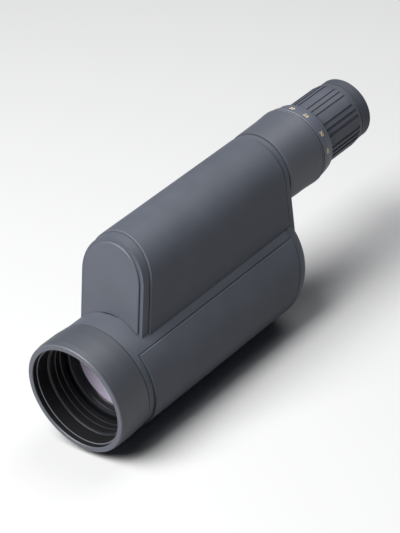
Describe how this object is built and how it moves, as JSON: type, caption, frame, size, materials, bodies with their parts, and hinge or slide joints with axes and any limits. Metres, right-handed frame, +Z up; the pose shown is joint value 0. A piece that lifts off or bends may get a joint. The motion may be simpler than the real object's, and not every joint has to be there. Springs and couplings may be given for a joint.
{
  "type": "spotting scope",
  "caption": "Straight-through spotting scope with a folded light path: large lower objective barrel, arched upper barrel, zoom eyepiece, rear focus knob and tripod foot.",
  "frame": {"origin": "mouth of the tripod socket in the underside of the foot, on the middle plane", "axes": "+Y towards the eyepiece along both barrels, -Y towards the target, +Z up, X across"},
  "size_m": [0.0854, 0.315, 0.14],
  "materials": {
    "housing_paint": "matte",
    "hood_paint": "matte",
    "armour_rubber": "matte",
    "plate_paint": "matte",
    "sleeve_paint": "matte",
    "dial_paint": "matte",
    "grip_rubber": "matte",
    "eyecup_rubber": "matte",
    "black_anodised": "matte black anodised",
    "baffle_black": "flat black",
    "optical_glass": "coated",
    "mirror_glass": "silvered",
    "inner_brass": "machined",
    "steel": "machined",
    "blackened_steel": "blackened",
    "seal_rubber": "matte",
    "index_paint": "paint fill"
  },
  "bodies": {
    "housing": {"main_housing": "housing_paint", "lens_hood": "hood_paint", "hood_baffle": "baffle_black", "objective_cell": "black_anodised", "objective_retainer": "black_anodised", "front_element": "optical_glass", "lens_spacer": "black_anodised", "rear_element": "optical_glass", "lower_armour": "armour_rubber", "upper_armour": "armour_rubber", "mirror_cover": "black_anodised", "cover_screws": "steel", "collimation_screws": "steel", "front_plate": "plate_paint", "second_mirror": "mirror_glass", "second_mirror_cell": "black_anodised", "rear_cap": "housing_paint", "cap_screws": "steel", "fill_screw": "blackened_steel", "focus_bush": "inner_brass", "knob_washer": "seal_rubber", "guide_rods": "steel", "eyepiece_sleeve": "sleeve_paint", "index_mark": "index_paint", "sleeve_seal": "seal_rubber", "sleeve_lock_ring": "inner_brass", "eyepiece_baffle": "baffle_black", "eyepiece_tube": "black_anodised", "field_stop": "black_anodised", "field_lens": "optical_glass", "eye_lens_cell": "black_anodised", "eye_lens": "optical_glass", "eye_lens_retainer": "black_anodised", "ring_retainer": "inner_brass", "tripod_foot": "black_anodised", "thread_insert": "steel", "foot_screws": "blackened_steel"},
    "power_ring": {"power_ring": "dial_paint", "grip_rubber": "grip_rubber", "cam_sleeve": "inner_brass", "drive_screws": "steel"},
    "front_zoom_group": {"front_carrier": "inner_brass", "front_zoom_lens": "optical_glass", "front_guide_pins": "steel"},
    "rear_zoom_group": {"rear_carrier": "inner_brass", "rear_zoom_lens": "optical_glass", "rear_guide_pins": "steel"},
    "focus_knob": {"focus_knob": "grip_rubber", "focus_screw": "steel", "knob_set_screw": "blackened_steel"},
    "mirror_carriage": {"mirror_carriage": "black_anodised", "main_mirror": "mirror_glass", "focus_nut": "inner_brass"},
    "eyecup_guide": {"eyecup_guide": "inner_brass"},
    "eyecup": {"eyecup": "eyecup_rubber"}
  },
  "joints": [
    {"name": "power_ring_turn", "type": "hinge", "parent": "housing", "child": "power_ring", "pos_m": [0, 0.142, 0.1099], "axis": [0, -1, 0], "range_deg": [0, 136]},
    {"name": "front_zoom_slide", "type": "slide", "parent": "housing", "child": "front_zoom_group", "axis": [0, 1, 0], "range_m": [0, 0.01]},
    {"name": "rear_zoom_slide", "type": "slide", "parent": "housing", "child": "rear_zoom_group", "axis": [0, 1, 0], "range_m": [-0.008, 0]},
    {"name": "focus_knob_turn", "type": "hinge", "parent": "housing", "child": "focus_knob", "pos_m": [0, 0.071, 0.0458], "axis": [0, 0.9694, -0.2453], "range_deg": [-720, 720]},
    {"name": "mirror_slide", "type": "slide", "parent": "housing", "child": "mirror_carriage", "axis": [0, 0.9694, -0.2453], "range_m": [-0.004, 0.004]},
    {"name": "eyecup_slide", "type": "slide", "parent": "housing", "child": "eyecup_guide", "axis": [0, 1, 0], "range_m": [0, 0.006]},
    {"name": "eyecup_twist", "type": "hinge", "parent": "eyecup_guide", "child": "eyecup", "pos_m": [0, 0.171, 0.1099], "axis": [0, 1, 0], "range_deg": [0, 90]}
  ],
  "couplings": [
    {"joint": "front_zoom_slide", "follows": "power_ring_turn", "m_per_rad": 0.0042129},
    {"joint": "rear_zoom_slide", "follows": "power_ring_turn", "m_per_rad": -0.0033703},
    {"joint": "focus_knob_turn", "follows": "mirror_slide", "rad_per_m": -3141.6},
    {"joint": "eyecup_twist", "follows": "eyecup_slide", "rad_per_m": 261.8}
  ]
}
